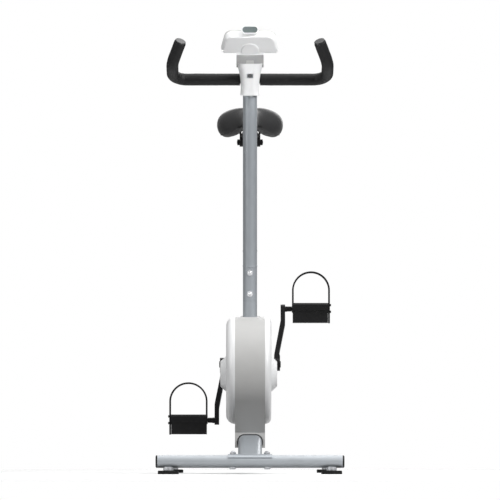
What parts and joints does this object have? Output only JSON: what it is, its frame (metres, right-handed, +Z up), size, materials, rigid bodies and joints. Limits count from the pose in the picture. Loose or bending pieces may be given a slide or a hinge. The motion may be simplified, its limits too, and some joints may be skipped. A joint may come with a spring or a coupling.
{
  "type": "exercise bike",
  "caption": "Upright magnetic exercise bike with forward horned handlebar, tilting console, height-adjustable saddle, strapped pedals and a disc-shaped white casing.",
  "frame": {"origin": "on the floor, midway between the outer faces of the two stabilizers, in the middle plane", "axes": "+Z up, +X to the rider's left, -Y to the front of the bike"},
  "size_m": [0.52, 0.882, 1.2518],
  "materials": {
    "frame_paint": "satin silver-grey paint",
    "stabilizer_paint": "satin silver-grey paint",
    "zinc_steel": "zinc plated",
    "chrome": "polished",
    "white_plastic": "satin moulded",
    "grey_plastic": "fine matte moulded",
    "black_plastic": "matte moulded",
    "black_gloss_plastic": "gloss moulded",
    "black_paint": "black powder coat",
    "foam": "closed-cell foam",
    "foot_rubber": "moulded rubber",
    "saddle_cover": "soft vinyl",
    "strap_rubber": "satin flexible",
    "cast_iron": "machined and painted",
    "belt_rubber": "ribbed belt",
    "cable_sheath": "cable sheath",
    "smoked_lens": "smoked",
    "display": "clear over grey display"
  },
  "bodies": {
    "frame": {"main_tube": "frame_paint", "seat_tube": "frame_paint", "post_stub": "frame_paint", "front_post": "frame_paint", "post_bolts": "chrome", "front_stabilizer": "stabilizer_paint", "rear_stabilizer": "stabilizer_paint", "stabilizer_end_caps": "black_plastic", "stabilizer_bolts": "zinc_steel", "foot_lock_nuts": "zinc_steel", "seat_bushing": "black_plastic", "bearings": "zinc_steel", "casing_band": "grey_plastic", "left_cover": "white_plastic", "right_cover": "white_plastic", "cover_screws": "zinc_steel", "casing_collars": "grey_plastic", "flywheel_fork": "frame_paint", "flywheel_axle": "zinc_steel", "drive_belt": "belt_rubber", "inner_cables": "cable_sheath", "speed_sensor": "black_plastic", "handlebar_clamp": "black_paint", "front_shroud": "white_plastic", "rear_shroud": "white_plastic", "console_bracket": "grey_plastic"},
    "front_left_foot": {"front_left_foot": "foot_rubber"},
    "front_right_foot": {"front_right_foot": "foot_rubber"},
    "rear_left_foot": {"rear_left_foot": "foot_rubber"},
    "rear_right_foot": {"rear_right_foot": "foot_rubber"},
    "flywheel": {"flywheel": "cast_iron", "flywheel_pulley": "black_plastic"},
    "idler": {"idler_roller": "black_plastic"},
    "brake_arm": {"brake_arm": "frame_paint"},
    "tension_knob": {"tension_knob": "black_plastic"},
    "crankset": {"crank_axle": "zinc_steel", "crank_pulley": "black_plastic", "left_crank": "black_paint", "right_crank": "black_paint", "crank_bolts": "black_plastic", "pedal_spindles": "black_paint"},
    "left_pedal": {"left_pedal": "black_plastic", "left_strap": "strap_rubber"},
    "right_pedal": {"right_pedal": "black_plastic", "right_strap": "strap_rubber"},
    "seat_post": {"seat_post": "chrome"},
    "pin_knob": {"pin_knob": "black_plastic"},
    "saddle_clamp": {"saddle_clamp": "black_paint"},
    "saddle": {"saddle_rails": "black_paint", "saddle_base": "black_plastic", "saddle_cushion": "saddle_cover"},
    "handlebar": {"handlebar": "black_paint", "left_grip": "foam", "right_grip": "foam", "grip_end_caps": "black_gloss_plastic"},
    "console": {"console_back": "white_plastic", "console_face": "grey_plastic", "console_screen": "display", "console_window": "smoked_lens"},
    "mode_button": {"mode_button": "black_gloss_plastic"}
  },
  "joints": [
    {"name": "crank_spin", "type": "hinge", "parent": "frame", "child": "crankset", "pos_m": [0, 0.06, 0.312], "axis": [1, 0, 0], "continuous": true},
    {"name": "left_pedal_spin", "type": "hinge", "parent": "crankset", "child": "left_pedal", "pos_m": [0, 0.11619, 0.47245], "axis": [1, 0, 0], "continuous": true},
    {"name": "right_pedal_spin", "type": "hinge", "parent": "crankset", "child": "right_pedal", "pos_m": [0, 0.00381, 0.15155], "axis": [1, 0, 0], "continuous": true},
    {"name": "flywheel_spin", "type": "hinge", "parent": "frame", "child": "flywheel", "pos_m": [0, -0.197, 0.28], "axis": [1, 0, 0], "continuous": true},
    {"name": "idler_spin", "type": "hinge", "parent": "frame", "child": "idler", "pos_m": [0, -0.06053, 0.21928], "axis": [1, 0, 0], "continuous": true},
    {"name": "tension_turn", "type": "hinge", "parent": "frame", "child": "tension_knob", "pos_m": [0, -0.15485, 0.93431], "axis": [0, 0.9848, 0.1736], "range_deg": [0, 300]},
    {"name": "brake_pivot", "type": "hinge", "parent": "frame", "child": "brake_arm", "pos_m": [0, -0.11565, 0.38375], "axis": [1, 0, 0], "range_deg": [0, 6]},
    {"name": "seat_height", "type": "slide", "parent": "frame", "child": "seat_post", "axis": [0, 0.2079, 0.9781], "range_m": [-0.15, 0.05]},
    {"name": "pin_pull", "type": "slide", "parent": "frame", "child": "pin_knob", "axis": [0, 0.9781, -0.2079], "range_m": [-0.01, 0.003]},
    {"name": "saddle_tilt", "type": "hinge", "parent": "seat_post", "child": "saddle_clamp", "pos_m": [0, 0.23802, 0.96192], "axis": [1, 0, 0], "range_deg": [-12, 12]},
    {"name": "saddle_slide", "type": "slide", "parent": "saddle_clamp", "child": "saddle", "axis": [0, 1, 0], "range_m": [-0.02, 0.02]},
    {"name": "handlebar_tilt", "type": "hinge", "parent": "frame", "child": "handlebar", "pos_m": [0, -0.17466, 1.11004], "axis": [1, 0, 0], "range_deg": [-20, 20]},
    {"name": "console_tilt", "type": "hinge", "parent": "frame", "child": "console", "pos_m": [0, -0.21796, 1.15978], "axis": [1, 0, 0], "range_deg": [-10, 10]},
    {"name": "mode_press", "type": "slide", "parent": "console", "child": "mode_button", "axis": [0, 0.7431, 0.6691], "range_m": [-0.0015, 0], "stiffness_N_per_m": 400, "springref_m": 0.0005},
    {"name": "front_left_foot_screw", "type": "slide", "parent": "frame", "child": "front_left_foot", "axis": [0, 0, 1], "range_m": [-0.008, 0]},
    {"name": "front_right_foot_screw", "type": "slide", "parent": "frame", "child": "front_right_foot", "axis": [0, 0, 1], "range_m": [-0.008, 0]},
    {"name": "rear_left_foot_screw", "type": "slide", "parent": "frame", "child": "rear_left_foot", "axis": [0, 0, 1], "range_m": [-0.008, 0]},
    {"name": "rear_right_foot_screw", "type": "slide", "parent": "frame", "child": "rear_right_foot", "axis": [0, 0, 1], "range_m": [-0.008, 0]}
  ],
  "couplings": [
    {"joint": "flywheel_spin", "follows": "crank_spin", "ratio": 5.2778},
    {"joint": "idler_spin", "follows": "crank_spin", "ratio": -7.0214},
    {"joint": "brake_pivot", "follows": "tension_turn", "ratio": 0.02}
  ]
}
